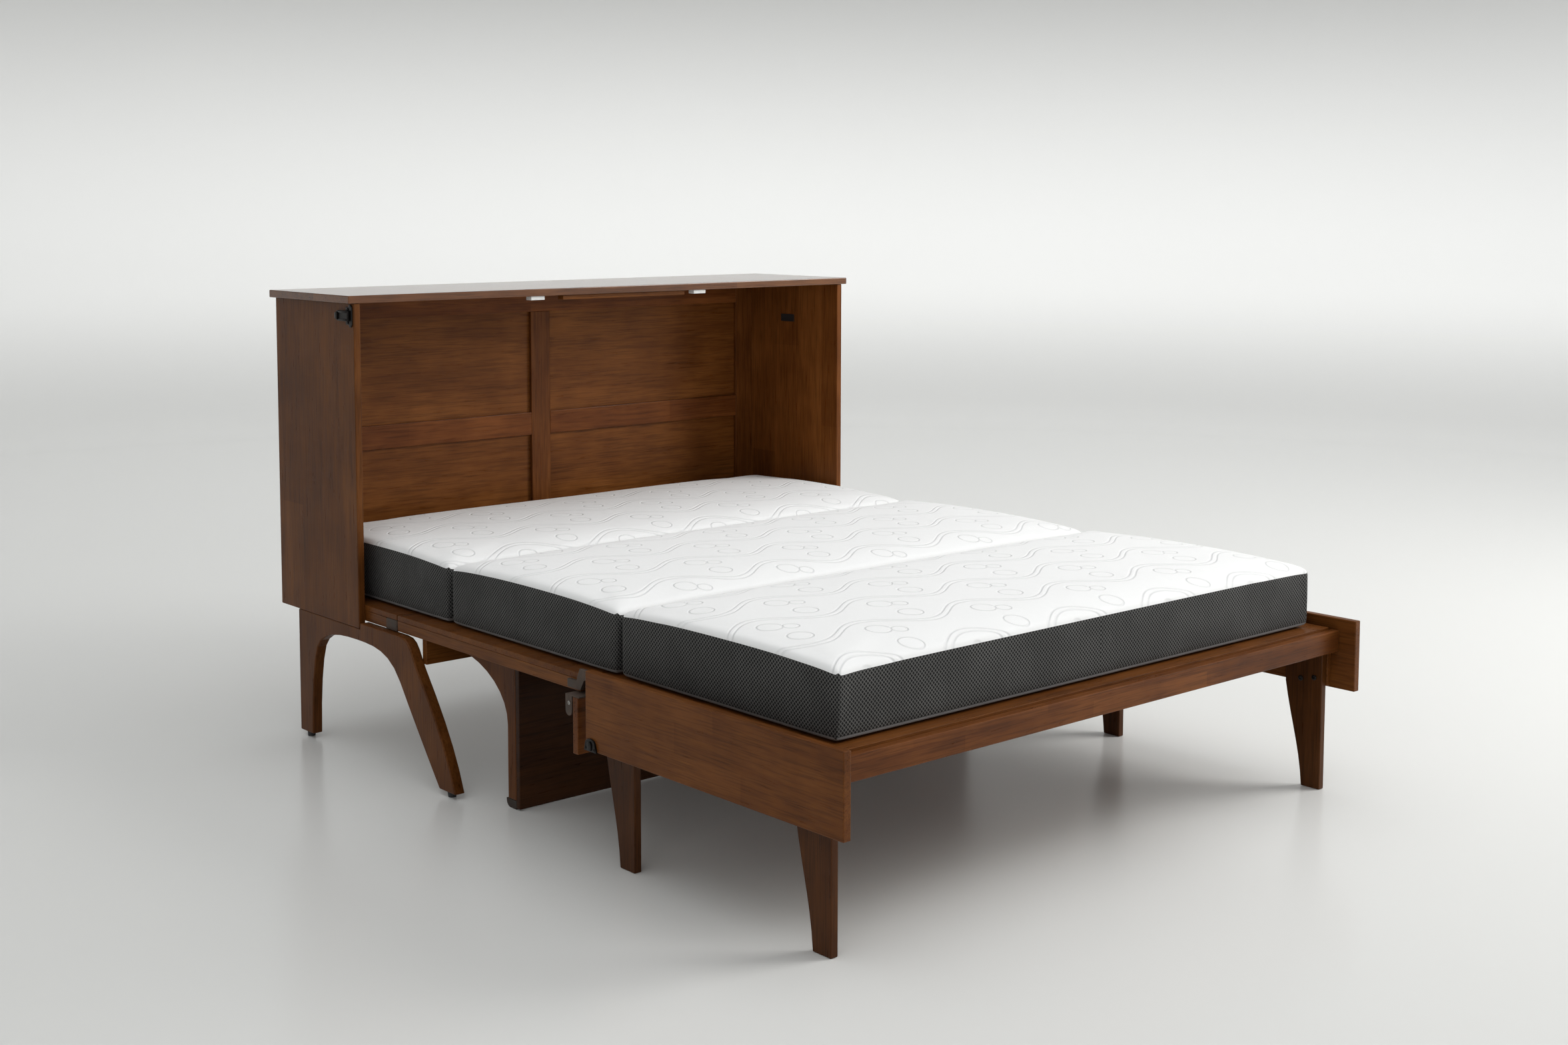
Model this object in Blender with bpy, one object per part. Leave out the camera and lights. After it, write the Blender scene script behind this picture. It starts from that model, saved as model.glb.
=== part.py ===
"""Cabinet bed on arched leg frames, opened out: a shallow cabinet, three deck sections and a
three-part mattress. Metres, +X to the right, +Y to the back of the cabinet, +Z up.
The sizes below count Y from the front edge of the cabinet's sides, and Z from the floor. The
finished object is moved back by TO_MIDDLE, which puts the origin under the middle of it."""

import math

import bmesh
import bpy
from mathutils import Vector

GAP = 0.0003  # between pieces that touch
TO_MIDDLE = 0.6675

# Cabinet
SLAB_HALF = 0.827
SLAB_FRONT, SLAB_BACK = -0.004, 0.408
SLAB_TOP, SLAB_THICK = 1.147, 0.019
SIDE_OUT, SIDE_THICK = 0.811, 0.018
SIDE_DEPTH, SIDE_BOTTOM = 0.404, 0.329
SIDE_TOP = SLAB_TOP - SLAB_THICK - GAP
SIDE_IN = SIDE_OUT - SIDE_THICK

# Framed back
BACK_FRONT, FRAME_THICK, SHEET_THICK = 0.388, 0.010, 0.006
STILE_WIDE = 0.064
TOP_RAIL_LOW = 1.061
MIDDLE_RAIL = (0.710, 0.774)
BOTTOM_RAIL = (0.346, 0.420)

# Deck levels, shared by all three sections
DECK_TOP, DECK_THICK = 0.385, 0.013
RAIL_LOW, RAIL_WIDE = 0.346, 0.025
RAIL_TOP = DECK_TOP - DECK_THICK - GAP
RAIL_OUT = SIDE_IN - 0.0005
BLOCK_REAR = -0.100

# Folds: both axes run along X, a little above the deck
FOLD_Z = 0.3865
MAIN_Y = -0.152
FOOT_Y = -0.9275
FOLD_CLEAR = 0.0015

# Arched leg frames
FRAME_IN, FRAME_OUT = 0.784, SIDE_OUT
GLIDE_HIGH, GLIDE_RADIUS = 0.012, 0.011
APRON_FRONT, APRON_LOW, APRON_TOP = -0.270, 0.284, 0.343

# Support under the middle section
SUPPORT_HALF, SUPPORT_FRONT = 0.740, -0.593
PANEL_THICK, BRACKET_THICK, SKID_HIGH = 0.015, 0.018, 0.020
BRACKET_REAR = -0.545

# Foot section
BOARD_IN, BOARD_OUT = 0.804, 0.823
BOARD_REAR, BOARD_FRONT = -0.963, -1.743
BOARD_LOW, BOARD_TOP = 0.241, 0.407
LEDGER_IN, LEDGER_LOW = 0.791, 0.245
LEG_IN, LEG_OUT = 0.7725, 0.7905
END_RAIL = (-1.700, -1.680, 0.329, 0.3797)
CAP = (-0.936, -0.918, 0.222, 0.3430)
FRONT_LEG_Y, REAR_LEG_Y = -1.677, -1.087

# Mattress
BED_HALF, BED_LOW, BED_TOP = 0.762, 0.3875, 0.5325
BED_ENDS = (0.335, -0.326, -0.985, -1.655)
SEAM = 0.0025
HEAD_PIVOT = (0.285, 0.4375)
SEAM_CLEAR = 0.001

# Draw latches and catches
LATCH_Z, LATCH_Y = 1.097, 0.004
BASE_HALF, BASE_WIDE, BASE_THICK = 0.022, 0.030, 0.003
LEVER_PIVOT_IN, LEVER_PIVOT_OUT = 0.010, 0.0055
LEVER_THICK = 0.0072
CATCH_MIDDLE, CATCH_TURN = -0.984, 0.256
CATCH_HALF, CATCH_HIGH = 0.017, 0.012

# Slab's batten and clips
BATTEN_X, BATTEN_Y, BATTEN_HIGH = (-0.189, 0.220), (0.006, 0.030), 0.012
CLIP_X, CLIP_Y, CLIP_HIGH = (0.250, 0.292), (0.002, 0.026), 0.010
PAD_Y, PAD_Z, PAD_THICK = (0.190, 0.248), (1.008, 1.030), 0.0012

# Steel hinges and brackets
STRAP_LOW, STRAP_STEP, STRAP_REAR = 0.352, 0.370, -0.868
STRAP_RADIUS, STRAP_THICK = 0.0115, 0.0082
RAIL_SETBACK = 0.0225
LEAF_THICK, TAB_LOW = 0.0024, 0.300
TAB_FRONT, TAB_REAR = -0.9147, -0.8920


def clear_scene():
    for obj in list(bpy.data.objects):
        bpy.data.objects.remove(obj, do_unlink=True)


def material(name, colour, rough, metal=0.0):
    made = bpy.data.materials.new(name)
    made.use_nodes = True
    shader = made.node_tree.nodes["Principled BSDF"]
    shader.inputs["Base Color"].default_value = (*colour, 1)
    shader.inputs["Roughness"].default_value = rough
    shader.inputs["Metallic"].default_value = metal
    return made


def finish(name, mesh, centre, paint, bevel, holder):
    """Makes the object, with its origin at centre, and hangs it on its axis if it moves."""
    obj = bpy.data.objects.new(name, mesh)
    mesh.materials.append(paint)
    obj.location = Vector(centre) + Vector((0, TO_MIDDLE, 0))
    bpy.context.collection.objects.link(obj)
    if bevel:
        rounding = obj.modifiers.new("edges", "BEVEL")
        rounding.width = bevel
        rounding.segments = 2
        rounding.limit_method = "ANGLE"
        rounding.angle_limit = math.radians(50)
    if holder:
        obj.parent = holder
        obj.location -= holder.location
    return obj


def block(name, x, y, z, paint, bevel=0.0012, holder=None):
    """A board: x, y and z are (low, high)."""
    shape = bmesh.new()
    bmesh.ops.create_cube(shape, size=1)
    size = Vector((x[1] - x[0], y[1] - y[0], z[1] - z[0]))
    bmesh.ops.scale(shape, vec=size, verts=shape.verts)
    mesh = bpy.data.meshes.new(name)
    shape.to_mesh(mesh)
    shape.free()
    centre = ((x[0] + x[1]) / 2, (y[0] + y[1]) / 2, (z[0] + z[1]) / 2)
    return finish(name, mesh, centre, paint, bevel, holder)


def plate(name, outline, x, paint, bevel=0.0012, holder=None):
    """A sawn board: outline is a list of (y, z) points, extruded from x[0] to x[1]."""
    shape = bmesh.new()
    centre_y = sum(p[0] for p in outline) / len(outline)
    centre_z = sum(p[1] for p in outline) / len(outline)
    half = (x[1] - x[0]) / 2
    ring = [shape.verts.new((-half, y - centre_y, z - centre_z)) for y, z in outline]
    face = shape.faces.new(ring)
    grown = bmesh.ops.extrude_face_region(shape, geom=[face])["geom"]
    moved = [v for v in grown if isinstance(v, bmesh.types.BMVert)]
    bmesh.ops.translate(shape, vec=(2 * half, 0, 0), verts=moved)
    bmesh.ops.recalc_face_normals(shape, faces=shape.faces)
    mesh = bpy.data.meshes.new(name)
    shape.to_mesh(mesh)
    shape.free()
    centre = ((x[0] + x[1]) / 2, centre_y, centre_z)
    return finish(name, mesh, centre, paint, bevel, holder)


def span(side, near, far):
    """The X range between two distances from the middle, on one side."""
    return tuple(sorted((side * near, side * far)))


def curve(points, steps):
    """Points along a Bezier curve through any number of control points."""
    made = []
    for i in range(steps + 1):
        row = [Vector(p) for p in points]
        while len(row) > 1:
            row = [a.lerp(b, i / steps) for a, b in zip(row, row[1:])]
        made.append(tuple(row[0]))
    return made


def arc(centre, radius, start, end, steps):
    """Points on a circle, or on an ellipse if radius is a pair, from start to end in degrees."""
    wide, high = radius if isinstance(radius, tuple) else (radius, radius)
    angles = [math.radians(start + (end - start) * i / steps) for i in range(steps + 1)]
    return [(centre[0] + wide * math.cos(a), centre[1] + high * math.sin(a)) for a in angles]


def axis(name, y, z, x=0.0):
    """An empty on a fold's axis, which the pieces that turn about it hang on."""
    empty = bpy.data.objects.new(name, None)
    empty.location = (x, y + TO_MIDDLE, z)
    empty.empty_display_size = 0.05
    bpy.context.collection.objects.link(empty)
    return empty


def cabinet():
    block("top_slab", (-SLAB_HALF, SLAB_HALF), (SLAB_FRONT, SLAB_BACK),
          (SLAB_TOP - SLAB_THICK, SLAB_TOP), WOOD, 0.002)
    for side, word in SIDES:
        block(f"side_panel_{word}", span(side, SIDE_IN, SIDE_OUT), (0, SIDE_DEPTH),
              (SIDE_BOTTOM, SIDE_TOP), WOOD, 0.002)
    block("slab_batten", BATTEN_X, BATTEN_Y, (SIDE_TOP - BATTEN_HIGH, SIDE_TOP), WOOD)
    for side, word in SIDES:
        block(f"slab_clip_{word}", span(side, *CLIP_X), CLIP_Y,
              (SIDE_TOP - CLIP_HIGH, SIDE_TOP), WHITE, 0.001)
    block("leg_pad", (SIDE_IN - GAP - PAD_THICK, SIDE_IN - GAP), PAD_Y, PAD_Z, RUBBER, 0)


def framed_back():
    frame = (BACK_FRONT, BACK_FRONT + FRAME_THICK)
    inner = SIDE_IN - GAP
    stile_in = inner - STILE_WIDE
    rail_end = stile_in - GAP
    middle = STILE_WIDE / 2
    low, high = BOTTOM_RAIL[1] + GAP, TOP_RAIL_LOW - GAP
    block("back_rail_top", (-rail_end, rail_end), frame, (TOP_RAIL_LOW, SIDE_TOP), WOOD)
    block("back_rail_bottom", (-rail_end, rail_end), frame, BOTTOM_RAIL, WOOD)
    block("back_stile_middle", (-middle, middle), frame, (low, high), WOOD)
    for side, word in SIDES:
        block(f"back_stile_{word}", span(side, stile_in, inner), frame,
              (BOTTOM_RAIL[0], SIDE_TOP), WOOD)
        block(f"back_rail_middle_{word}", span(side, middle + GAP, rail_end), frame,
              MIDDLE_RAIL, WOOD)
    sheet = (frame[1] + GAP, frame[1] + GAP + SHEET_THICK)
    block("back_sheet", (-inner, inner), sheet, (BOTTOM_RAIL[0], SIDE_TOP), WOOD, 0)


def head_deck():
    for side, word in SIDES:
        rail = span(side, RAIL_OUT - RAIL_WIDE, RAIL_OUT)
        block(f"head_rail_{word}", rail, (BLOCK_REAR + GAP, BACK_FRONT - GAP),
              (RAIL_LOW, RAIL_TOP), WOOD)
        block(f"main_hinge_{word}", span(side, RAIL_OUT - RAIL_WIDE - 0.001, RAIL_OUT + 0.0015),
              (MAIN_Y + FOLD_CLEAR, BLOCK_REAR), (RAIL_LOW - 0.0023, RAIL_TOP), BRONZE, 0.003)
    block("head_deck", (-RAIL_OUT, RAIL_OUT), (MAIN_Y + FOLD_CLEAR, BACK_FRONT - GAP),
          (RAIL_TOP + GAP, DECK_TOP), WOOD, 0.001)


def arch_outline():
    """The leg frame seen from its side: a straight rear leg and a raked front leg."""
    foot = GLIDE_HIGH + GAP
    shoulder = SIDE_BOTTOM - GAP
    rear_edge, brow = 0.313, 0.343
    front = curve([(-0.190, brow), (-0.236, brow), (-0.240, 0.318), (-0.268, 0.277)], 5)
    front += curve([(-0.268, 0.277), (-0.350, 0.175), (-0.400, 0.100), (-0.432, foot)], 5)[1:]
    inside = curve([(-0.363, foot), (-0.300, 0.090), (-0.240, 0.165), (-0.190, 0.232)], 5)
    inside += curve([(-0.190, 0.232), (-0.140, 0.298), (-0.070, 0.298), (0.010, 0.2985)], 6)[1:]
    inside += curve([(0.010, 0.2985), (0.110, 0.299), (0.190, 0.290), (0.215, 0.245)], 6)[1:]
    inside += curve([(0.215, 0.245), (0.235, 0.205), (0.247, 0.120), (0.247, foot)], 4)[1:]
    return [(rear_edge, foot), (rear_edge, shoulder), (-0.003, shoulder), (-0.003, brow)] + front + inside


def leg_frames():
    outline = arch_outline()
    for side, word in SIDES:
        x = span(side, FRAME_IN, FRAME_OUT)
        plate(f"leg_frame_{word}", outline, x, WOOD, 0.003)
        for y, place in ((0.280, "rear"), (-0.398, "front")):
            glide(f"glide_{place}_{word}", sum(x) / 2, y)
    block("front_apron", (-FRAME_IN + GAP, FRAME_IN - GAP), (APRON_FRONT, APRON_FRONT + 0.018),
          (APRON_LOW, APRON_TOP), WOOD)


def glide(name, x, y):
    shape = bmesh.new()
    bmesh.ops.create_cone(shape, cap_ends=True, segments=20, radius1=GLIDE_RADIUS * 0.85,
                          radius2=GLIDE_RADIUS, depth=GLIDE_HIGH)
    mesh = bpy.data.meshes.new(name)
    shape.to_mesh(mesh)
    shape.free()
    mesh.shade_smooth()
    mesh.set_sharp_from_angle(angle=math.radians(40))
    finish(name, mesh, (x, y, GLIDE_HIGH / 2), RUBBER, 0, None)


def latches():
    """A draw latch on each side: a base with raised cheeks, and a lever that swings outwards."""
    base_out = SIDE_OUT + GAP + BASE_THICK
    for side, word in SIDES:
        block(f"latch_base_{word}", span(side, SIDE_OUT + GAP, base_out),
              (LATCH_Y, LATCH_Y + BASE_WIDE), (LATCH_Z - BASE_HALF, LATCH_Z + BASE_HALF), IRON, 0.001)
        hinge_y = LATCH_Y + LEVER_PIVOT_IN
        pivot = axis(f"axis_latch_{word}", hinge_y, LATCH_Z, side * (base_out + LEVER_PIVOT_OUT))
        outline = [(hinge_y, -0.013), (LATCH_Y + 0.058, -0.013), (LATCH_Y + 0.069, -0.008)]
        outline = outline + [(y, -z) for y, z in reversed(outline)]
        plate(f"latch_lever_{word}", [(y, LATCH_Z + z) for y, z in outline],
              span(side, base_out + GAP, base_out + GAP + LEVER_THICK), IRON, 0.0012, pivot)


def bracket_outline():
    """A support bracket from its side: an upright foot that flares back under the deck."""
    foot = SKID_HIGH + GAP
    front = SUPPORT_FRONT + PANEL_THICK + GAP
    flare = arc((-0.310, 0.190), (-BRACKET_REAR - 0.310, 0.140), 180, 90, 9)
    return [(front, foot), (front, RAIL_TOP), (-0.310, RAIL_TOP)] + flare[::-1] + [(BRACKET_REAR, foot)]


def skid_outline():
    """A shoe under the bracket, with a round heel that meets the floor first as the bed opens."""
    front = SUPPORT_FRONT + PANEL_THICK + GAP
    rear, heel = -0.538, 0.016
    round_heel = arc((rear - heel, heel), heel, 0, -90, 6)
    return [(front, 0), (front, SKID_HIGH), (rear, SKID_HIGH)] + round_heel


def middle_section(fold):
    ends = (FOOT_Y + RAIL_SETBACK, MAIN_Y - FOLD_CLEAR)
    for side, word in SIDES:
        block(f"middle_rail_{word}", span(side, RAIL_OUT - RAIL_WIDE, RAIL_OUT), ends,
              (RAIL_LOW, RAIL_TOP), WOOD, holder=fold)
        x = span(side, SUPPORT_HALF - BRACKET_THICK, SUPPORT_HALF)
        plate(f"support_bracket_{word}", bracket_outline(), x, WOOD, 0.002, fold)
        plate(f"support_skid_{word}", skid_outline(), x, BRONZE, 0.0008, fold)
        plate(f"foot_hinge_{word}", hinge_outline(), span(side, RAIL_OUT + GAP, RAIL_OUT + GAP + STRAP_THICK),
              BRONZE, 0.0008, fold)
    block("middle_deck", (-RAIL_OUT, RAIL_OUT), (FOOT_Y + FOLD_CLEAR, MAIN_Y - FOLD_CLEAR),
          (RAIL_TOP + GAP, DECK_TOP), WOOD, 0.001, fold)
    block("support_panel", (-SUPPORT_HALF, SUPPORT_HALF), (SUPPORT_FRONT, SUPPORT_FRONT + PANEL_THICK),
          (0.003, RAIL_TOP), WOOD, 0.0015, fold)


def hinge_outline():
    """The fixed strap of the foot fold, round about its axis."""
    tip = arc((FOOT_Y, FOLD_Z), STRAP_RADIUS, 90, 270, 8)
    block_side = [(STRAP_REAR, STRAP_LOW), (STRAP_REAR, STRAP_STEP), (STRAP_REAR - 0.032, STRAP_STEP)]
    return block_side + [(-0.912, FOLD_Z + STRAP_RADIUS)] + tip + [(-0.915, STRAP_LOW)]


def leg_outline(front):
    """A tapered leg: upright in front, with a hollow curve behind."""
    top = RAIL_TOP - 0.0002
    back = curve([(front + 0.050, 0), (front + 0.056, 0.090), (front + 0.083, 0.155),
                  (front + 0.098, LEDGER_LOW)], 7)
    return [(front, 0)] + back + [(front + 0.098, top), (front, top)]


def rest_outline():
    """The rest bracket from its side: a tab that hangs behind the cap board."""
    radius = (TAB_REAR - TAB_FRONT) / 2
    high = CAP[3] + GAP + LEAF_THICK
    end = arc(((TAB_REAR + TAB_FRONT) / 2, TAB_LOW + radius), radius, 0, -180, 8)
    return [(TAB_FRONT, high), (TAB_REAR, high)] + end


def rest_bracket(name, side, fold):
    """The hanging tab and, over the cap board, the leaf that the middle rail rests on."""
    tab = plate(name, rest_outline(), span(side, BOARD_OUT - 0.003, BOARD_OUT), BRONZE, 0, fold)
    leaf = block(name + "_leaf", span(side, RAIL_OUT - 0.020, BOARD_OUT), (-0.940, TAB_REAR),
                 (CAP[3] + GAP, CAP[3] + GAP + LEAF_THICK), BRONZE, 0, fold)
    leaf.hide_render = True
    leaf.display_type = "WIRE"
    joined = tab.modifiers.new("leaf", "BOOLEAN")
    joined.operation = "UNION"
    joined.object = leaf


def catch_outline():
    """The latch's catch plate: a lug with a round top."""
    top = arc((CATCH_MIDDLE, CATCH_TURN), (CATCH_HALF, CATCH_HIGH), 0, 180, 8)
    return [(CATCH_MIDDLE - 0.022, BOARD_LOW), (CATCH_MIDDLE + 0.020, BOARD_LOW)] + top


def foot_section(fold):
    for side, word in SIDES:
        board = span(side, BOARD_IN, BOARD_OUT)
        block(f"side_board_{word}", board, (BOARD_FRONT, BOARD_REAR), (BOARD_LOW, BOARD_TOP),
              WOOD, 0.002, fold)
        block(f"deck_ledger_{word}", span(side, LEDGER_IN, BOARD_IN - GAP),
              (END_RAIL[1] + GAP, BOARD_REAR), (LEDGER_LOW, RAIL_TOP), WOOD, holder=fold)
        for place, front in (("front", FRONT_LEG_Y), ("rear", REAR_LEG_Y)):
            plate(f"foot_leg_{place}_{word}", leg_outline(front), span(side, LEG_IN, LEG_OUT),
                  WOOD, 0.002, fold)
        plate(f"catch_{word}", catch_outline(), span(side, BOARD_OUT + GAP, BOARD_OUT + 0.005),
              IRON, 0.0008, fold)
        rest_bracket(f"rest_bracket_{word}", side, fold)
    inner = BOARD_IN - GAP
    block("end_rail", (-inner, inner), END_RAIL[:2], END_RAIL[2:], WOOD, 0.002, fold)
    block("rear_rail", (-RAIL_OUT, RAIL_OUT), (-0.957, -0.932), (RAIL_LOW, RAIL_TOP),
          WOOD, holder=fold)
    block("cap_board", (-BOARD_OUT, BOARD_OUT), CAP[:2], CAP[2:], WOOD, 0.0015, fold)
    block("foot_deck", (-RAIL_OUT, RAIL_OUT), (END_RAIL[1] + GAP, FOOT_Y - FOLD_CLEAR),
          (RAIL_TOP + GAP, DECK_TOP), WOOD, 0.001, fold)


def mattress(name, rear, front, low_round, top_round, holder):
    """A foam block, with its rear lower and rear upper edges rounded by the given radii."""
    outline = [(front, BED_LOW)]
    if low_round:
        outline += arc((rear - low_round, BED_LOW + low_round), low_round, -90, 0, 6)
        outline += arc((rear - top_round, BED_TOP - top_round), top_round, 0, 90, 5)
    else:
        outline += [(rear, BED_LOW), (rear, BED_TOP)]
    outline += [(front, BED_TOP)]
    plate(name, outline, (-BED_HALF, BED_HALF), FABRIC, 0, holder)


def mattresses():
    half = SEAM / 2
    rear, first, second, foot = BED_ENDS
    head = axis("axis_mattress_head", *HEAD_PIVOT)
    mattress("mattress_head", rear, first, 0.050, 0.030, head)
    middle = axis("axis_mattress_middle", first - half, BED_LOW - SEAM_CLEAR)
    mattress("mattress_middle", first - SEAM, second, 0, 0, middle)
    end = axis("axis_mattress_foot", second - half, BED_TOP + SEAM_CLEAR)
    mattress("mattress_foot", second - SEAM, foot, 0, 0, end)


clear_scene()
SIDES = ((-1, "left"), (1, "right"))
WOOD = material("stained_wood", (0.16, 0.065, 0.030), 0.35)
BRONZE = material("brown_steel", (0.09, 0.06, 0.045), 0.45, 0.6)
IRON = material("dark_iron", (0.03, 0.028, 0.026), 0.4, 0.8)
RUBBER = material("black_rubber", (0.015, 0.015, 0.015), 0.7)
WHITE = material("white_plastic", (0.85, 0.85, 0.83), 0.4)
FABRIC = material("mattress_fabric", (0.80, 0.80, 0.79), 0.9)

cabinet()
framed_back()
head_deck()
leg_frames()
latches()
middle_section(axis("axis_main_fold", MAIN_Y, FOLD_Z))
foot_section(axis("axis_foot_fold", FOOT_Y, FOLD_Z))
mattresses()
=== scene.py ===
"""Looks for the cabinet bed: stained wood, brown and dark hardware, and a three-part foam mattress
made by cloth simulation, on a pale studio floor. Metres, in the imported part's frame."""
import math

import bmesh
import bpy
import numpy as np
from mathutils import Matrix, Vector


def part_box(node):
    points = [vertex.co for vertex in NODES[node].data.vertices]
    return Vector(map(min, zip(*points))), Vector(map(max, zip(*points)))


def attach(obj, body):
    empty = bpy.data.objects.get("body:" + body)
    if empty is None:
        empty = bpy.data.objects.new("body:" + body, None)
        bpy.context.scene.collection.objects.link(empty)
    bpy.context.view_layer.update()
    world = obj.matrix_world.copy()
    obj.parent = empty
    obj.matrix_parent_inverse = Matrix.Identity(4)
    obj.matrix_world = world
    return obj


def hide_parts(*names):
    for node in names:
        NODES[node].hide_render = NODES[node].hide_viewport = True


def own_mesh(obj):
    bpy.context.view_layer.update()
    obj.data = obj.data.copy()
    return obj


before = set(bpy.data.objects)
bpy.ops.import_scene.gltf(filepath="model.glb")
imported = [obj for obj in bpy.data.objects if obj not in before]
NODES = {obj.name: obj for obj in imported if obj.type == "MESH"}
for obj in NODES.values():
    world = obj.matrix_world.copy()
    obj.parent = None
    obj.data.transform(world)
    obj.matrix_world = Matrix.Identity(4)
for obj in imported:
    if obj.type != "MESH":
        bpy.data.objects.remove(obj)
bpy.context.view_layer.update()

# Mattress: half its width, its underside and top, and each piece's rear and front ends
HALF = 0.762
LOW, TOP = 0.3885, 0.5325
PIECES = (("mattress_head", 1.0025, 0.3415), ("mattress_middle", 0.339, -0.3175),
          ("mattress_foot", -0.320, -0.9875))
# Remesh size, cloth pressure, the furthest a point may move, the top's rise and the cloth frames
VOXEL = 0.012
PUFF, CAP, CROWN = 4.0, 0.006, 0.012
CLOTH_FRAMES = 20
# Heights of the white top's border and of the grey line at the bottom
KNIT_FROM = TOP - 0.010
COVER_TO = LOW + 0.0070

# Hardware: distances of the faces from the bed's middle, and places on them
LEG_FACE = 0.7713
LEG_FRONTS = (("front", -1.0095), ("rear", -0.4195))
LEG_BOLTS = ((0.020, 0.2645), (0.056, 0.2570))
LATCH_FACE = 0.8150
EAR_FACES = (0.8114, 0.8142)
LEVER_FACE = 0.8217
CATCH_FACE = 0.8281
BRACKET_SCREW = (0.8236, -0.2385, 0.328)
DISC_SIDES = 20

# Studio
ROOM_RADIUS, ROOM_HEIGHT, ROOM_BEND = 11, 14, 4.0
FLOOR_GAP = 0.0005
SKY, SKY_STRENGTH = (0.56, 0.57, 0.575), 2.08

# Camera
LENS, SHIFT = 44.58, (0.0230, -0.10)
EYE = (-3.1378, -3.5197, 1.3855)
TILT_DOWN, TURN = 4.972, -40.558


# ---------------------------------------------------------------- small tools

def select_only(obj):
    bpy.ops.object.select_all(action="DESELECT")
    obj.select_set(True)
    bpy.context.view_layer.objects.active = obj


def apply_all(obj):
    select_only(obj)
    bpy.ops.object.transform_apply(location=True, rotation=True, scale=True)
    for name in [m.name for m in obj.modifiers]:
        bpy.ops.object.modifier_apply(modifier=name)


def smooth(obj, angle=35):
    select_only(obj)
    bpy.ops.object.shade_smooth_by_angle(angle=math.radians(angle))


def cube(name, low, high):
    bpy.ops.mesh.primitive_cube_add(size=1)
    obj = bpy.context.object
    obj.name = obj.data.name = name
    obj.location = [(a + b) / 2 for a, b in zip(low, high)]
    obj.scale = [b - a for a, b in zip(low, high)]
    apply_all(obj)
    return obj


def in_edit(obj):
    select_only(obj)
    bpy.ops.object.mode_set(mode="EDIT")
    bpy.ops.mesh.select_all(action="SELECT")


def leave_edit():
    bpy.ops.object.mode_set(mode="OBJECT")


def pick_faces(obj, wanted):
    """Selects only the faces for which wanted says yes, in edit mode."""
    bpy.ops.mesh.select_all(action="DESELECT")
    bm = bmesh.from_edit_mesh(obj.data)
    for face in bm.faces:
        if wanted(face):
            face.select = True
    bmesh.update_edit_mesh(obj.data)


def set_material(obj, *mats):
    obj.data.materials.clear()
    for m in mats:
        obj.data.materials.append(m)


# ---------------------------------------------------------------- material helpers

class Tree:
    """Short names for building one node material."""

    def __init__(self, name):
        self.mat = bpy.data.materials.new(name)
        self.mat.use_nodes = True
        self.nodes = self.mat.node_tree.nodes
        self.links = self.mat.node_tree.links
        self.shader = self.nodes["Principled BSDF"]
        self.coords = self.nodes.new("ShaderNodeTexCoord").outputs["Object"]

    def put(self, socket, value):
        if isinstance(value, bpy.types.NodeSocket):
            self.links.new(value, socket)
        else:
            socket.default_value = value

    def math(self, kind, a, b=0.0):
        node = self.nodes.new("ShaderNodeMath")
        node.operation = kind
        for socket, value in zip(node.inputs, (a, b)):
            self.put(socket, value)
        return node.outputs[0]

    def mapped(self, scale, place=(0, 0, 0)):
        node = self.nodes.new("ShaderNodeMapping")
        self.links.new(self.coords, node.inputs["Vector"])
        node.inputs["Scale"].default_value = scale
        node.inputs["Location"].default_value = place
        return node.outputs[0]

    def noise(self, vector, scale, detail=4.0, rough=0.55, distort=0.0):
        node = self.nodes.new("ShaderNodeTexNoise")
        self.links.new(vector, node.inputs["Vector"])
        values = {"Scale": scale, "Detail": detail, "Roughness": rough, "Distortion": distort}
        for key, value in values.items():
            node.inputs[key].default_value = value
        return node.outputs["Fac"]

    def ramp(self, value, *stops):
        node = self.nodes.new("ShaderNodeValToRGB")
        self.put(node.inputs[0], value)
        points = node.color_ramp.elements
        while len(points) < len(stops):
            points.new(0.5)
        for point, (place, colour) in zip(points, stops):
            point.position = place
            point.color = (*colour, 1)
        return node.outputs[0]

    def remap(self, value, low, high, to_low=0.0, to_high=1.0):
        node = self.nodes.new("ShaderNodeMapRange")
        node.interpolation_type = "SMOOTHSTEP"
        for socket, given in zip(node.inputs, (value, low, high, to_low, to_high)):
            self.put(socket, given)
        return node.outputs[0]

    def mix(self, factor, a, b, kind="MIX"):
        node = self.nodes.new("ShaderNodeMix")
        node.data_type = "RGBA"
        node.blend_type = kind
        self.put(node.inputs["Factor"], factor)
        for key, value in (("A", a), ("B", b)):
            socket = next(s for s in node.inputs if s.name == key and s.type == "RGBA")
            self.put(socket, value if isinstance(value, bpy.types.NodeSocket) else (*value, 1))
        return next(s for s in node.outputs if s.type == "RGBA")

    def grey(self, value):
        node = self.nodes.new("ShaderNodeCombineColor")
        for socket in node.inputs:
            self.put(socket, value)
        return node.outputs[0]

    def bump(self, height, deep, strength=1.0, base=None):
        node = self.nodes.new("ShaderNodeBump")
        node.inputs["Strength"].default_value = strength
        node.inputs["Distance"].default_value = deep
        self.put(node.inputs["Height"], height)
        if base is not None:
            self.links.new(base, node.inputs["Normal"])
        return node.outputs[0]

    def finish(self, colour=None, rough=None, normal=None, **constants):
        for key, value in (("Base Color", colour), ("Roughness", rough), ("Normal", normal)):
            if value is not None:
                self.put(self.shader.inputs[key], value)
        for key, value in constants.items():
            self.shader.inputs[key.replace("_", " ")].default_value = value
        return self.mat


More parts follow.
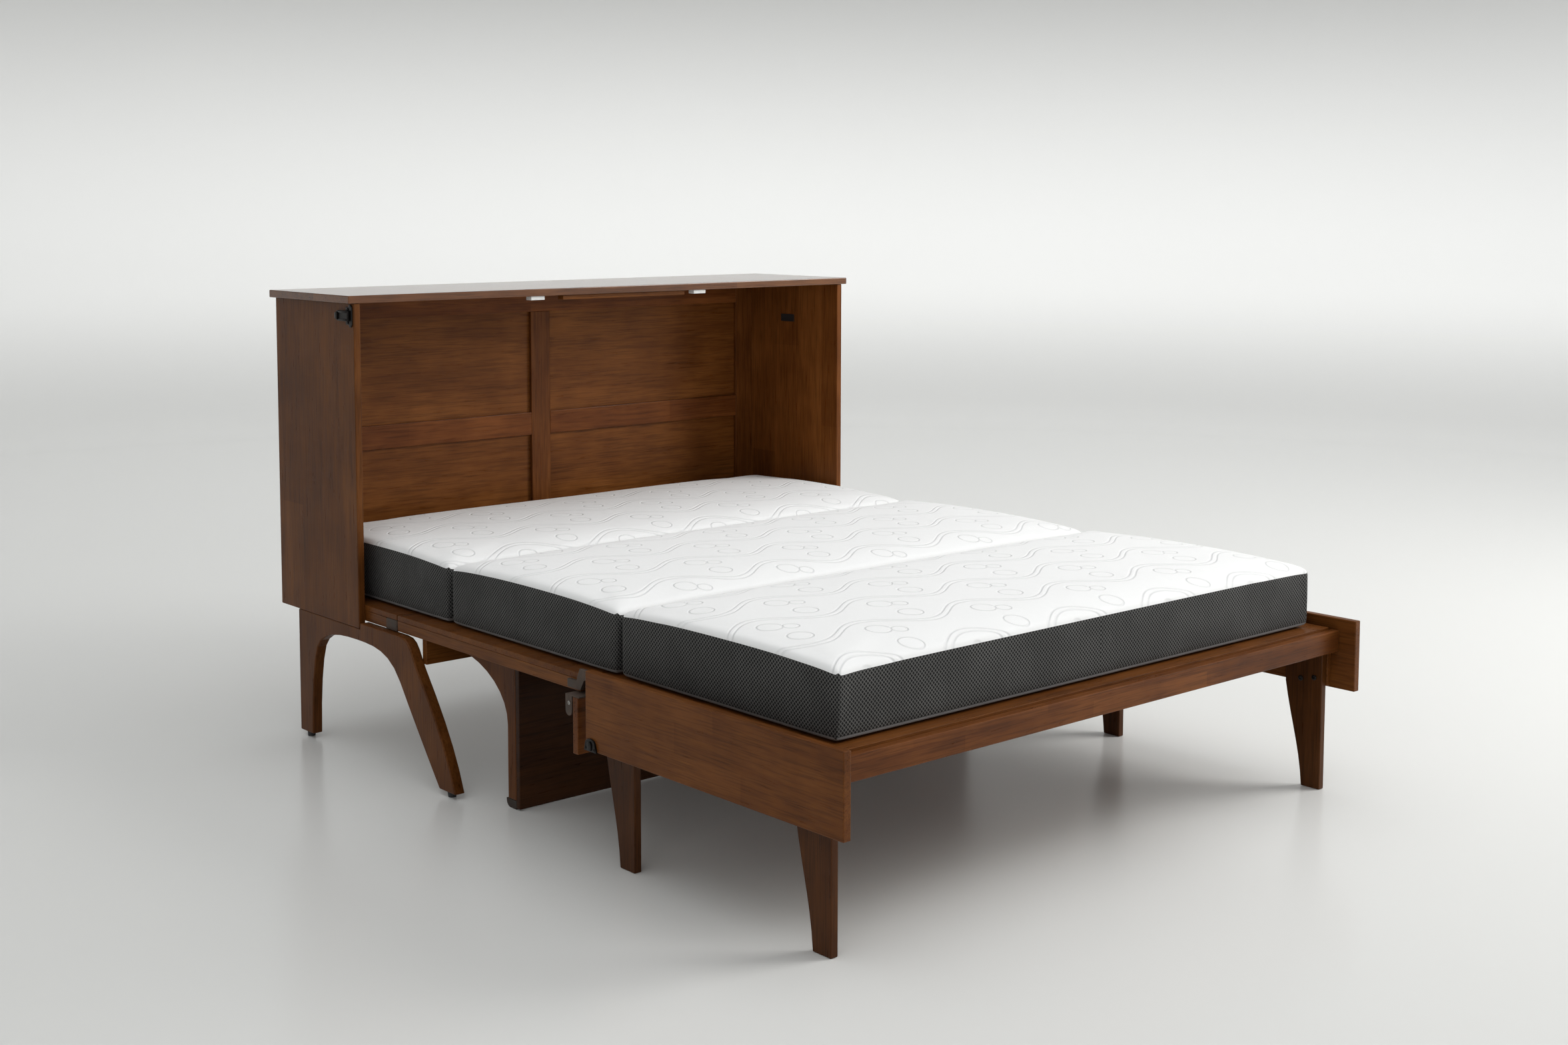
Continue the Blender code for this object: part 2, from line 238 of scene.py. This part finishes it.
def wood(name, grain, blocks=None, seed=0.0, tone=1.0, red=0.0, gloss=0.0):
    """Stained wood. grain is the axis along the grain; blocks is (length, width, across axis)."""
    t = Tree(name)
    long = [9.0, 9.0, 9.0]
    long["XYZ".index(grain)] = 0.8
    fine = [300.0, 300.0, 300.0]
    fine["XYZ".index(grain)] = 9.0
    figure = t.noise(t.mapped(long, (seed, seed * 2, seed)), 1.6, 4.0, 0.55, 0.9)
    streak = t.noise(t.mapped([v * 9 for v in long], (seed, 0, seed)), 1.5, 4.0, 0.6, 0.3)
    pores = t.noise(t.mapped(fine), 1.0, 2.0, 0.5)
    blotch = t.noise(t.mapped((3.2, 3.2, 3.2), (seed, 3, 1)), 1.7, 3.0)
    value = t.math("ADD", t.math("MULTIPLY", figure, 0.34), t.math("MULTIPLY", streak, 0.28))
    value = t.math("ADD", value, t.math("MULTIPLY", blotch, 0.38))
    if blocks:
        length, width, across = blocks
        split = t.nodes.new("ShaderNodeSeparateXYZ")
        t.links.new(t.coords, split.inputs[0])
        along = t.math("DIVIDE", split.outputs[grain], length)
        over = t.math("FLOOR", t.math("DIVIDE", split.outputs[across], width))
        shifted = t.math("ADD", along, t.math("MULTIPLY", over, 0.37))
        cell = t.nodes.new("ShaderNodeCombineXYZ")
        t.put(cell.inputs[0], t.math("FLOOR", shifted))
        t.put(cell.inputs[1], over)
        t.put(cell.inputs[2], seed)
        white = t.nodes.new("ShaderNodeTexWhiteNoise")
        t.links.new(cell.outputs[0], white.inputs["Vector"])
        block_tone = t.math("SUBTRACT", white.outputs["Value"], 0.5)
        value = t.math("ADD", value, t.math("MULTIPLY", block_tone, 0.13))
    green = 1 - 0.10 * red
    dark = (0.070 * tone, 0.0215 * tone * green, 0.0045 * tone)
    deep = (0.112 * tone, 0.0360 * tone * green, 0.0075 * tone)
    mid = (0.152 * tone, 0.0515 * tone * green, 0.0110 * tone)
    light = (0.212 * tone, 0.0770 * tone * green, 0.0180 * tone)
    colour = t.ramp(value, (0.32, dark), (0.45, deep), (0.56, mid), (0.72, light))
    shade = t.remap(pores, 0.36, 0.52, 0.72, 1.0)
    colour = t.mix(1.0, colour, t.grey(shade), "MULTIPLY")
    rough = t.remap(streak, 0.3, 0.7, 0.27, 0.40)
    normal = t.bump(pores, 0.0002, 0.25)
    return t.finish(colour, rough, normal, Coat_Weight=gloss, Coat_Roughness=0.13,
                    Specular_IOR_Level=0.13)


def painted_metal(name, colour, rough, metal):
    t = Tree(name)
    speck = t.noise(t.mapped((1, 1, 1)), 900.0, 2.0)
    wear = t.noise(t.mapped((1, 1, 1)), 38.0, 5.0)
    low = tuple(c * 0.62 for c in colour)
    high = tuple(min(1, c * 1.5) for c in colour)
    shade = t.ramp(wear, (0.35, low), (0.55, colour), (0.72, high))
    return t.finish(shade, t.remap(wear, 0.3, 0.7, rough - 0.08, rough + 0.12),
                    t.bump(speck, 0.0001, 0.4), Metallic=metal)


def plastic(name, colour, rough):
    t = Tree(name)
    cloud = t.noise(t.mapped((1, 1, 1)), 60.0, 3.0)
    grain = t.noise(t.mapped((1, 1, 1)), 1400.0, 2.0)
    low = tuple(c * 0.85 for c in colour)
    return t.finish(t.ramp(cloud, (0.3, low), (0.7, colour)), rough, t.bump(grain, 0.00008, 0.5))


def quilt():
    """White knit: rows of paired wavy lines with rings between them, pressed into the pile."""
    t = Tree("knit_top")
    split = t.nodes.new("ShaderNodeSeparateXYZ")
    t.links.new(t.coords, split.inputs[0])
    x, y = split.outputs["X"], split.outputs["Y"]
    pitch, wave = 0.150, 0.300
    row = t.math("DIVIDE", y, pitch)
    number = t.math("FLOOR", row)
    v = t.math("MULTIPLY", t.math("SUBTRACT", t.math("SUBTRACT", row, number), 0.5), pitch)
    turned = t.math("MULTIPLY", number, wave * 0.5)
    u = t.math("ADD", x, turned)
    swing = t.math("MULTIPLY", t.math("SINE", t.math("MULTIPLY", u, 2 * math.pi / wave)), 0.034)
    lines = None
    for shift in (-0.0075, 0.0075):
        off = t.math("ABSOLUTE", t.math("SUBTRACT", v, t.math("ADD", swing, shift)))
        groove = t.remap(off, 0.0, 0.0052, 0.0, 1.0)
        lines = groove if lines is None else t.math("MINIMUM", lines, groove)
    cell = t.math("SUBTRACT", t.math("FRACT", t.math("DIVIDE", u, wave)), 0.25)
    for centre_u, centre_v, size in ((0.0, -0.030, 0.026), (0.5, 0.030, 0.026), (0.12, -0.052, 0.017)):
        away = t.math("MULTIPLY", t.math("SUBTRACT", cell, centre_u), wave)
        up = t.math("SUBTRACT", v, centre_v)
        far = t.math("SQRT", t.math("ADD", t.math("MULTIPLY", away, away), t.math("MULTIPLY", up, up)))
        ring = t.remap(t.math("ABSOLUTE", t.math("SUBTRACT", far, size)), 0.0, 0.0040, 0.0, 1.0)
        lines = t.math("MINIMUM", lines, ring)
    soft = t.noise(t.mapped((1, 1, 1)), 14.0, 3.0)
    knit = t.noise(t.mapped((1, 1, 1)), 620.0, 2.0)
    normal = t.bump(lines, 0.0022, 0.75)
    normal = t.bump(soft, 0.006, 0.30, normal)
    normal = t.bump(knit, 0.0005, 0.30, normal)
    # The grooves and rings are painted a little darker than the knit: painted shade in the pressed-in lines.
    colour = t.mix(lines, (0.795, 0.795, 0.798), (0.84, 0.84, 0.84))
    return t.finish(colour, 0.9, normal, Sheen_Weight=0.25, Sheen_Roughness=0.5)


def mesh_side():
    """Charcoal spacer mesh: a lighter diagonal lattice over holes painted near-black as painted shade."""
    t = Tree("mesh_side")
    split = t.nodes.new("ShaderNodeSeparateXYZ")
    t.links.new(t.coords, split.inputs[0])
    run = t.math("ADD", t.math("ABSOLUTE", split.outputs["X"]), split.outputs["Y"])
    z = split.outputs["Z"]
    pitch = 0.0092
    a = t.math("ABSOLUTE", t.math("SINE", t.math("MULTIPLY", t.math("ADD", run, z), math.pi / pitch)))
    b = t.math("ABSOLUTE", t.math("SINE", t.math("MULTIPLY", t.math("SUBTRACT", run, z), math.pi / pitch)))
    lattice = t.math("SUBTRACT", 1.0, t.math("MULTIPLY", a, b))
    thread = t.noise(t.mapped((1, 1, 1)), 900.0, 2.0)
    cloud = t.noise(t.mapped((1, 1, 1)), 9.0, 2.0)
    # The darkest stop is painted shade in the holes; the charcoal and the lighter grey are the threads' own
    # colour.
    colour = t.ramp(lattice, (0.25, (0.0035, 0.0035, 0.0038)), (0.55, (0.025, 0.025, 0.0255)),
                    (0.90, (0.112, 0.110, 0.105)))
    colour = t.mix(1.0, colour, t.grey(t.remap(cloud, 0.3, 0.7, 0.85, 1.1)), "MULTIPLY")
    normal = t.bump(thread, 0.0004, 0.3, t.bump(lattice, 0.0014, 0.7))
    return t.finish(colour, 0.85, normal, Sheen_Weight=0.05, Specular_IOR_Level=0.2)


def cover():
    """Light grey woven cover under the foam, seen as a thin line along its bottom edge."""
    t = Tree("grey_cover")
    weave = t.noise(t.mapped((1, 1, 1)), 700.0, 2.0)
    cloud = t.noise(t.mapped((1, 1, 1)), 12.0, 3.0)
    colour = t.ramp(cloud, (0.3, (0.17, 0.17, 0.175)), (0.7, (0.22, 0.22, 0.225)))
    return t.finish(colour, 0.9, t.bump(weave, 0.0004, 0.4), Sheen_Weight=0.1)


# ---------------------------------------------------------------- frame materials

GRAINS = {
    "X": ("top_slab", "slab_batten", "back_rail_top", "back_rail_bottom", "back_rail_middle_left",
          "back_rail_middle_right", "front_apron", "rear_rail", "cap_board", "head_deck",
          "middle_deck", "foot_deck"),
    "Y": ("head_rail_left", "head_rail_right", "middle_rail_left", "middle_rail_right",
          "deck_ledger_left", "deck_ledger_right"),
    "Z": ("side_panel_left", "side_panel_right", "back_stile_middle", "back_stile_left",
          "back_stile_right", "foot_leg_front_left", "foot_leg_front_right", "foot_leg_rear_left",
          "foot_leg_rear_right",
          "leg_frame_left", "leg_frame_right"),
}


def paint_frame():
    bronze = painted_metal("brown_paint", (0.062, 0.040, 0.028), 0.60, 0.0)
    shoe = painted_metal("shoe_brown", (0.026, 0.014, 0.008), 0.5, 0.0)
    iron = painted_metal("gunmetal", (0.030, 0.027, 0.026), 0.36, 0.85)
    shared = {axis: wood(f"stain_{axis}", axis, seed=i * 2.3 + 1)
              for i, axis in enumerate("XYZ")}
    by_node = {node: shared[axis] for axis, names in GRAINS.items() for node in names}
    special = {
        # Both side panels take the same stain; the right one is painted lighter and redder than the left:
        # painted light on its face.
        ("side_panel_left",): wood("stain_panel", "Z", (0.9, 0.105, "Y"), 4.1, 0.88),
        ("side_panel_right",): wood("panel_right_stain_and_painted_light", "Z", (0.9, 0.105, "Y"), 6.9, 1.30, 0.3),
        ("top_slab",): wood("stain_slab", "X", (0.6, 0.07, "Y"), 6.2, 0.95, 0.0, 0.9),
        ("side_board_left", "side_board_right"): wood("stain_board", "Y", (0.32, 0.060, "Z"), 2.7, 0.97, 0.1),
        ("end_rail", "cap_board"): wood("stain_rail", "X", (0.38, 0.052, "Z"), 8.8, 0.95, 0.5),
        ("back_sheet",): wood("veneer", "X", None, 5.5, 1.30),
        # The foot legs keep the stain, darkened to tone 0.50 as painted shade.
        ("foot_leg_front_left", "foot_leg_front_right", "foot_leg_rear_left", "foot_leg_rear_right"):
            wood("leg_stain_and_painted_shade", "Z", None, 3.1, 0.50, 0.2),
        ("leg_frame_left", "leg_frame_right"): wood("stain_arch", "Z", None, 6.6, 0.80, 0.1),
        # The support panel keeps the stain, darkened to tone 0.30 as painted shade on its front face.
        ("support_panel",): wood("support_stain_and_painted_shade", "X", (0.5, 0.09, "Z"), 3.9, 0.30, 0.5),
        ("support_bracket_left", "support_bracket_right"): wood("stain_bracket", "Z", None, 7.7, 0.80, 0.3),
        ("back_rail_middle_left", "back_rail_middle_right", "back_rail_top"):
            wood("stain_face", "X", (0.45, 0.09, "Z"), 9.4, 1.18, 0.9),
        ("back_stile_middle", "back_stile_left", "back_stile_right"):
            wood("stain_stile", "Z", None, 1.9, 1.02, 0.5),
        ("glide_rear_left", "glide_rear_right", "glide_front_left", "glide_front_right", "leg_pad"):
            plastic("black_rubber", (0.018, 0.018, 0.019), 0.55),
        ("slab_clip_left", "slab_clip_right"): plastic("white_plastic", (0.82, 0.82, 0.80), 0.35),
    }
    by_node.update({node: paint for names, paint in special.items() for node in names})
    for name, obj in NODES.items():
        if name.startswith("mattress"):
            continue
        if name.startswith("support_skid"):
            by_node[name] = shoe
        elif name.startswith(("main_hinge", "foot_hinge", "rest_bracket")):
            by_node[name] = bronze
        elif name.startswith(("latch", "catch")):
            by_node[name] = iron
        set_material(obj, by_node[name])
        smooth(obj)
    return iron


# ---------------------------------------------------------------- mattress

def foam_block(name, rear, front):
    """A foam piece as cut, a little small, with round edges: it is inflated afterwards."""
    obj = cube(name, (-HALF + 0.003, front + 0.001, LOW), (HALF - 0.003, rear - 0.001, TOP - 0.001))
    if name.startswith("mattress_head"):
        in_edit(obj)
        bpy.ops.mesh.select_mode(type="EDGE")
        bpy.ops.mesh.select_all(action="DESELECT")
        bm = bmesh.from_edit_mesh(obj.data)
        for edge in bm.edges:
            a, b = (v.co for v in edge.verts)
            edge.select = min(a.y, b.y) > rear - 0.01 and abs(a.x - b.x) > 1
        bmesh.update_edit_mesh(obj.data)
        bpy.ops.mesh.bevel(offset=0.045, offset_type="OFFSET", segments=6, affect="EDGES")
        leave_edit()
    rounding = obj.modifiers.new("rounding", "BEVEL")
    rounding.width, rounding.segments = 0.015, 4
    rounding.limit_method, rounding.angle_limit = "ANGLE", math.radians(50)
    apply_all(obj)
    obj.data.remesh_voxel_size = VOXEL
    select_only(obj)
    bpy.ops.object.voxel_remesh()
    return obj


def inflate(obj):
    """Cloth with pressure, its result kept, with no point moved further than CAP."""
    before = np.array([v.co for v in obj.data.vertices])
    hold = obj.vertex_groups.new(name="floor")
    low = [v.index for v in obj.data.vertices if v.co.z < LOW + 0.004]
    hold.add(low, 1.0, "REPLACE")
    cloth = obj.modifiers.new("cloth", "CLOTH")
    s = cloth.settings
    s.quality = 4
    s.mass = 0.3
    s.tension_stiffness = s.compression_stiffness = 30
    s.shear_stiffness = 12
    s.bending_stiffness = 1.5
    s.use_pressure = True
    s.uniform_pressure_force = PUFF
    s.effector_weights.gravity = 0
    s.vertex_group_mass = "floor"
    scene = bpy.context.scene
    for number in range(1, CLOTH_FRAMES + 1):
        scene.frame_set(number)
    select_only(obj)
    bpy.ops.object.modifier_apply(modifier="cloth")
    scene.frame_set(1)
    after = np.array([v.co for v in obj.data.vertices])
    step = after - before
    far = np.linalg.norm(step, axis=1, keepdims=True)
    capped = before + step * np.minimum(1, CAP / np.maximum(far, 1e-9))
    obj.data.vertices.foreach_set("co", capped.ravel())
    obj.vertex_groups.clear()


def shape_top(obj, rear, front):
    """Crowns the top and bows its borders, and keeps the ends off the neighbouring pieces."""
    count = len(obj.data.vertices)
    p = np.empty(count * 3)
    obj.data.vertices.foreach_get("co", p)
    p = p.reshape(-1, 3)
    height = np.clip((p[:, 2] - LOW) / (TOP - LOW), 0, 1.1)
    middle, half = (rear + front) / 2, (rear - front) / 2
    a = np.clip(np.abs((p[:, 1] - middle) / half), 0, 1)
    b = np.clip(np.abs(p[:, 0]) / HALF, 0, 1)
    bow = (1 - a ** 2.2) * 0.7 + (1 - b ** 4) * 0.4 * (1 - a ** 8)
    ends = -0.004 * a ** 10 * (1 - b ** 12) - 0.008 * (a ** 6) * (b ** 8)
    lumps = 0.0010 * np.sin(p[:, 0] * 9.0 + 1.3) * np.sin(p[:, 1] * 12.0 + 0.4)
    p[:, 2] += height ** 2 * (CROWN * bow + ends + lumps * (1 - a ** 4) * (1 - b ** 4))
    bulge = 0.0040 * np.sin(math.pi * np.clip(height, 0, 1)) * (1 - a ** 6)
    p[:, 0] += np.sign(p[:, 0]) * bulge * (b > 0.96)
    p[:, 0] = np.clip(p[:, 0], -HALF - 0.008, HALF + 0.008)
    if not obj.name.startswith("mattress_head"):
        p[:, 1] = np.minimum(p[:, 1], rear - 0.0004)
    if not obj.name.startswith("mattress_foot"):
        p[:, 1] = np.maximum(p[:, 1], front + 0.0004)
    p[:, 1] = np.clip(p[:, 1], front - 0.006, rear + 0.001)
    p[:, 2] = np.maximum(p[:, 2], LOW - 0.002)
    obj.data.vertices.foreach_set("co", p.ravel())
    obj.data.update()


def three_fabrics(obj, top, side, under):
    """White knit on top, charcoal mesh round the sides, and grey cover underneath."""
    set_material(obj, top, side, under)
    for face in obj.data.polygons:
        z = face.center.z
        face.material_index = 0 if z > KNIT_FROM else 1 if z > COVER_TO else 2


def mattress(top, side, under):
    for name, rear, front in PIECES:
        obj = foam_block(name + "_foam", rear, front)
        three_fabrics(obj, top, side, under)
        inflate(obj)
        divide = obj.modifiers.new("divide", "SUBSURF")
        divide.levels = divide.render_levels = 1
        apply_all(obj)
        shape_top(obj, rear, front)
        select_only(obj)
        bpy.ops.object.shade_smooth()
        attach(obj, name)
        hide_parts(name)
        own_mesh(obj)


# ---------------------------------------------------------------- hardware

def disc(name, centre, radius, thick, side, paint, body):
    """A bolt or screw head on a face that points along X, with a driver recess."""
    bpy.ops.object.select_all(action="DESELECT")
    bpy.ops.mesh.primitive_cylinder_add(vertices=DISC_SIDES, radius=radius, depth=thick)
    obj = bpy.context.object
    obj.name = obj.data.name = name
    in_edit(obj)
    pick_faces(obj, lambda face: face.normal.z > 0.9)
    bpy.ops.mesh.inset(thickness=radius * 0.22, depth=radius * 0.12)
    bpy.ops.mesh.inset(thickness=radius * 0.30, depth=0)
    bpy.ops.mesh.inset(thickness=radius * 0.06, depth=-thick * 0.5)
    leave_edit()
    obj.rotation_euler = (0, side * math.pi / 2, 0)
    obj.location = centre
    apply_all(obj)
    set_material(obj, paint)
    smooth(obj, 40)
    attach(obj, body)


def plate(name, outline, x, paint, body, round_off=0.0008):
    """A metal part cut to an outline of (y, z) points and extruded between two X values."""
    bpy.ops.object.select_all(action="DESELECT")
    bpy.ops.mesh.primitive_circle_add(vertices=len(outline), radius=1, fill_type="NGON")
    obj = bpy.context.object
    obj.name = obj.data.name = name
    for vertex, (y, z) in zip(obj.data.vertices, outline):
        vertex.co = (x[0], y, z)
    in_edit(obj)
    bpy.ops.mesh.extrude_region_move(TRANSFORM_OT_translate={"value": (x[1] - x[0], 0, 0)})
    bpy.ops.mesh.select_all(action="SELECT")
    bpy.ops.mesh.normals_make_consistent(inside=False)
    leave_edit()
    edge = obj.modifiers.new("edge", "BEVEL")
    edge.width, edge.segments, edge.limit_method = round_off, 2, "ANGLE"
    apply_all(obj)
    set_material(obj, paint)
    smooth(obj, 40)
    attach(obj, body)


def half_round(y, z, radius, start, end, steps=8):
    """Points of an arc about (y, z), from start to end in degrees."""
    turns = [math.radians(start + (end - start) * i / steps) for i in range(steps + 1)]
    return [(y + radius * math.cos(a), z + radius * math.sin(a)) for a in turns]


def latch_parts(side, word, iron):
    """Ears that take the latch's screws, the lever's raised ribs and its turned-up grip."""
    low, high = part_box(f"latch_base_{word}")
    z = (low.z + high.z) / 2
    for name, way in (("low", -1), ("high", 1)):
        start, end = (180, 0) if way > 0 else (0, -180)
        ear = half_round(low.y + 0.009, z + way * 0.0205, 0.0075, start, end)
        plate(f"latch_ear_{name}_{word}", ear, [side * x for x in EAR_FACES], iron, "cabinet")
    low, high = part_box(f"latch_lever_{word}")
    face = side * LEVER_FACE
    for i, up in enumerate((-0.0095, 0.0095)):
        rib = [(low.y + 0.002, z + up - 0.0022), (high.y - 0.020, z + up - 0.0022),
               (high.y - 0.020, z + up + 0.0022), (low.y + 0.002, z + up + 0.0022)]
        plate(f"latch_rib_{i}_{word}", rib, (face, face + side * 0.0030), iron, f"latch_{word}")
    grip = [(high.y - 0.016, z - 0.010), (high.y - 0.004, z - 0.007), (high.y - 0.004, z + 0.007),
            (high.y - 0.016, z + 0.010)]
    plate(f"latch_grip_{word}", grip, (face, face + side * 0.0046), iron, f"latch_{word}",
          round_off=0.0014)


def catch_parts(side, word, iron):
    """The catch's hook and its two screws."""
    low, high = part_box(f"catch_{word}")
    y, z = (low.y + high.y) / 2, (low.z + high.z) / 2
    face = side * CATCH_FACE
    foot = [(y - 0.006, low.z + 0.003), (y + 0.008, low.z + 0.003)]
    hook = half_round(y + 0.001, z + 0.001, 0.0070, 0, 180) + foot
    plate(f"catch_hook_{word}", hook, (face - side * 0.0003, face + side * 0.0028), iron,
          "foot_section", round_off=0.0012)
    for i, dy in enumerate((-0.0145, 0.0145)):
        disc(f"catch_screw_{word}_{i}", (face, y + dy, low.z + 0.006), 0.0030, 0.0014, side, iron,
             "foot_section")


def hardware(iron):
    steel = painted_metal("screw_steel", (0.34, 0.33, 0.31), 0.28, 1.0)
    for side, word in ((-1, "left"), (1, "right")):
        for place, front in LEG_FRONTS:
            for i, (dy, z) in enumerate(LEG_BOLTS):
                disc(f"leg_bolt_{place}_{word}_{i}", (side * LEG_FACE, front + dy, z), 0.0062,
                     0.0022, -side, iron, "foot_section")
        low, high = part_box(f"latch_base_{word}")
        y = (low.y + high.y) / 2 + 0.004
        for i, z in enumerate((low.z + 0.006, high.z - 0.006)):
            disc(f"latch_screw_{word}_{i}", (side * LATCH_FACE, y, z), 0.0038, 0.0016, side, iron,
                 "cabinet")
        latch_parts(side, word, iron)
        catch_parts(side, word, iron)
        out, y, z = BRACKET_SCREW
        disc(f"bracket_screw_{word}", (side * out, y, z), 0.0045, 0.0015, side, steel,
             "foot_section")


# ---------------------------------------------------------------- studio

def studio_paint():
    """Pale floor and walls. The wall glows from the floor up, more on the right, and is painted grey higher
    up as painted shade.
    """
    t = Tree("studio_floor")
    cloud = t.noise(t.mapped((1, 1, 1)), 0.4, 1.0)
    split = t.nodes.new("ShaderNodeSeparateXYZ")
    t.links.new(t.coords, split.inputs[0])
    x, z = split.outputs["X"], split.outputs["Z"]
    pale = t.ramp(cloud, (0.2, (0.71, 0.71, 0.695)), (0.8, (0.73, 0.73, 0.715)))
    # Painted shade: the wall's colour turns grey from 1.4 m to 4.6 m up.
    colour = t.mix(t.remap(z, 1.4, 4.6), pale, (0.40, 0.40, 0.39))
    high = t.math("MULTIPLY", t.remap(z, -0.2, 0.8), t.remap(z, 0.7, 4.4, 1.0, 0.0))
    right = t.remap(x, -8.0, 8.0, 0.05, 0.42)
    t.put(t.shader.inputs["Emission Strength"], t.math("MULTIPLY", high, right))
    return t.finish(colour, t.remap(cloud, 0.2, 0.8, 0.19, 0.22), None, IOR=1.40,
                    Emission_Color=(1, 1, 0.99, 1))


def room():
    """A round room with no ceiling, its wall running into the floor in a wide bend."""
    bpy.ops.object.select_all(action="DESELECT")
    bpy.ops.mesh.primitive_cylinder_add(vertices=96, radius=ROOM_RADIUS, depth=ROOM_HEIGHT)
    obj = bpy.context.object
    obj.name = "studio_cove"
    in_edit(obj)
    bpy.ops.mesh.select_all(action="DESELECT")
    bpy.ops.mesh.select_mode(type="FACE")
    pick_faces(obj, lambda face: face.normal.z > 0.9)
    bpy.ops.mesh.delete(type="ONLY_FACE")
    pick_faces(obj, lambda face: face.normal.z < -0.9)
    bpy.ops.mesh.select_mode(type="EDGE")
    bpy.ops.mesh.bevel(offset=ROOM_BEND, offset_type="OFFSET", segments=24, affect="EDGES")
    bpy.ops.mesh.select_all(action="SELECT")
    bpy.ops.mesh.flip_normals()
    leave_edit()
    obj.location = (0, 0, ROOM_HEIGHT / 2 - FLOOR_GAP)
    apply_all(obj)
    bpy.ops.object.shade_smooth()
    obj.visible_shadow = False
    set_material(obj, studio_paint())


def lamp(name, place, target, size, power, colour=(1, 1, 1)):
    light = bpy.data.lights.new(name, "AREA")
    light.shape = "RECTANGLE"
    light.size, light.size_y = size
    light.energy = power
    light.color = colour
    obj = bpy.data.objects.new(name, light)
    bpy.context.scene.collection.objects.link(obj)
    obj.location = place
    aim = Vector(target) - Vector(place)
    obj.rotation_euler = aim.to_track_quat("-Z", "Y").to_euler()


def lighting():
    world = bpy.data.worlds.new("studio")
    bpy.context.scene.world = world
    world.use_nodes = True
    back = world.node_tree.nodes["Background"]
    back.inputs["Color"].default_value = (*SKY, 1)
    back.inputs["Strength"].default_value = SKY_STRENGTH
    lamp("key", (4.2, -3.2, 3.4), (0.3, -0.5, 0.4), (2.6, 2.6), 205, (1.0, 0.99, 0.97))
    lamp("fill", (-4.5, -3.5, 2.8), (0.0, 0.0, 0.5), (3.0, 3.0), 35)
    lamp("top", (0.9, -1.6, 4.6), (0.2, -0.6, 0.4), (3.0, 3.0), 20)


def camera():
    data = bpy.data.cameras.new("front_left")
    data.sensor_width = 36
    data.lens = LENS
    data.shift_x, data.shift_y = SHIFT
    data.clip_end = 200
    obj = bpy.data.objects.new("front_left", data)
    bpy.context.scene.collection.objects.link(obj)
    obj.location = EYE
    obj.rotation_euler = (math.radians(90 - TILT_DOWN), 0, math.radians(TURN))
    bpy.context.scene.camera = obj


gunmetal = paint_frame()
mattress(quilt(), mesh_side(), cover())
hardware(gunmetal)
room()
lighting()
camera()
bpy.context.scene.view_settings.view_transform = "Standard"
